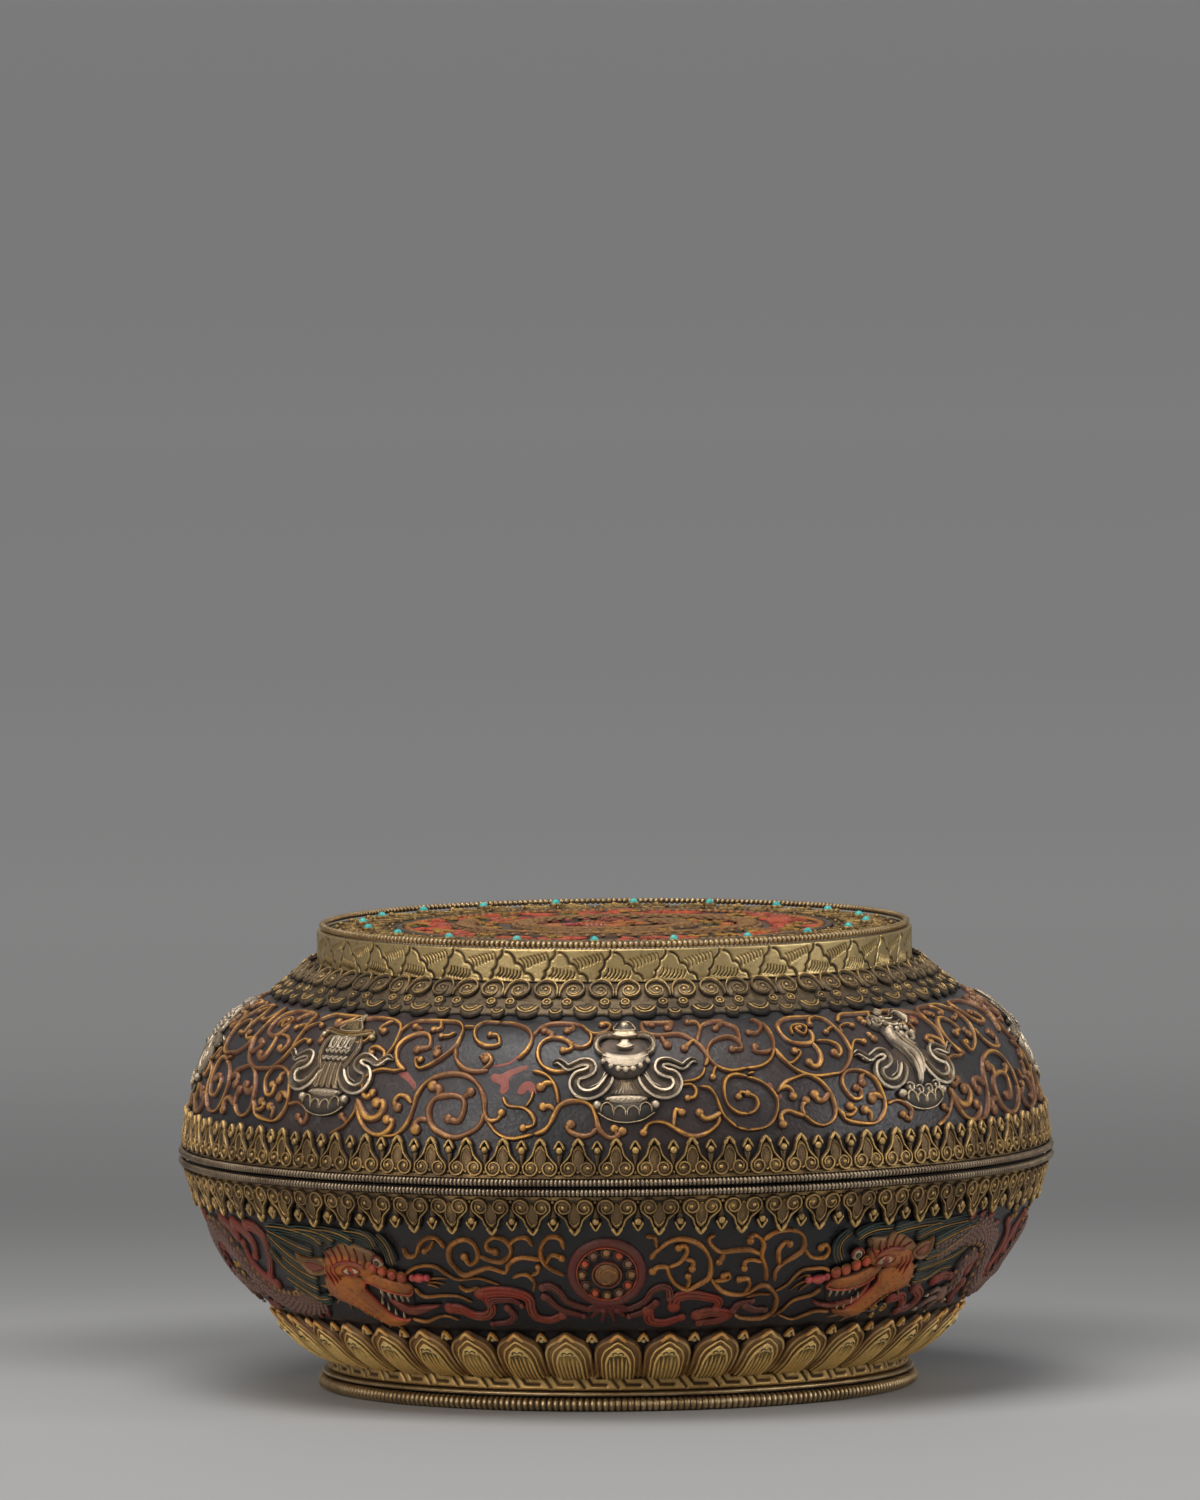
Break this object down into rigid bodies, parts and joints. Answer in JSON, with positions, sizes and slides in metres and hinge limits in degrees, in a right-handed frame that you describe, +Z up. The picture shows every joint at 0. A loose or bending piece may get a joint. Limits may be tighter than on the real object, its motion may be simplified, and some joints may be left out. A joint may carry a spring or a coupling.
{
  "type": "lidded treasure box",
  "caption": "Round lidded box on a low foot, with a lift-off turning lid, relief bands and silver emblems on dark lacquer, and a jewelled top.",
  "frame": {"origin": "centre of the foot on the surface that the box stands on", "axes": "+Z up along the box axis; -Y towards the front, where the vase emblem and the wheel of the dragon band are; +X to the right of a viewer in front"},
  "size_m": [0.2014, 0.2014, 0.1077],
  "materials": {
    "lacquered_wood": "black lacquer over turned wood, worn to the reddish ground in spots",
    "red_lining": "thin red lining glued to the wood",
    "gilt_relief": "rubbed gilding over dark relief",
    "brass_band": "engraved brass, aged",
    "beaded_wire": "beaded wire, tarnished",
    "silver_emblem": "chased silver alloy, warm tarnish in the recesses",
    "turquoise": "polished stones",
    "painted_medallion": "red and orange relief on a dark ground",
    "gilt_filigree": "gilt filigree scrolls"
  },
  "bodies": {
    "base": {"base_shell": "lacquered_wood", "base_lining": "red_lining", "lip_ring": "brass_band", "foot_wire": "beaded_wire", "foot_fillet": "beaded_wire", "foot_band": "brass_band", "lotus_ring": "gilt_relief", "base_border": "gilt_relief", "base_rim_wire": "beaded_wire"},
    "lid_lift": {"lid_lining": "red_lining"},
    "lid": {"emblem_conch": "silver_emblem", "emblem_endless_knot": "silver_emblem", "emblem_golden_fish": "silver_emblem", "emblem_lotus": "silver_emblem", "emblem_parasol": "silver_emblem", "emblem_vase": "silver_emblem", "emblem_victory_banner": "silver_emblem", "emblem_wheel": "silver_emblem", "inner_wire": "beaded_wire", "jewel_plate": "gilt_filigree", "lid_border": "gilt_relief", "lid_rim_wire": "beaded_wire", "lid_shell": "lacquered_wood", "medallion": "painted_medallion", "shoulder_border": "gilt_relief", "stone_01": "turquoise", "stone_02": "turquoise", "stone_03": "turquoise", "stone_04": "turquoise", "stone_05": "turquoise", "stone_06": "turquoise", "stone_07": "turquoise", "stone_08": "turquoise", "stone_09": "turquoise", "stone_10": "turquoise", "stone_11": "turquoise", "stone_12": "turquoise", "stone_13": "turquoise", "stone_14": "turquoise", "stone_15": "turquoise", "stone_16": "turquoise", "stone_17": "turquoise", "stone_18": "turquoise", "stone_19": "turquoise", "stone_20": "turquoise", "top_band": "brass_band", "top_wire": "beaded_wire"}
  },
  "joints": [
    {"name": "lid_lift", "type": "slide", "parent": "base", "child": "lid_lift", "axis": [0, 0, 1], "range_m": [0, 0.1]},
    {"name": "lid_turn", "type": "hinge", "parent": "lid_lift", "child": "lid", "pos_m": [0, 0, 0.0538], "axis": [0, 0, 1], "continuous": true}
  ]
}
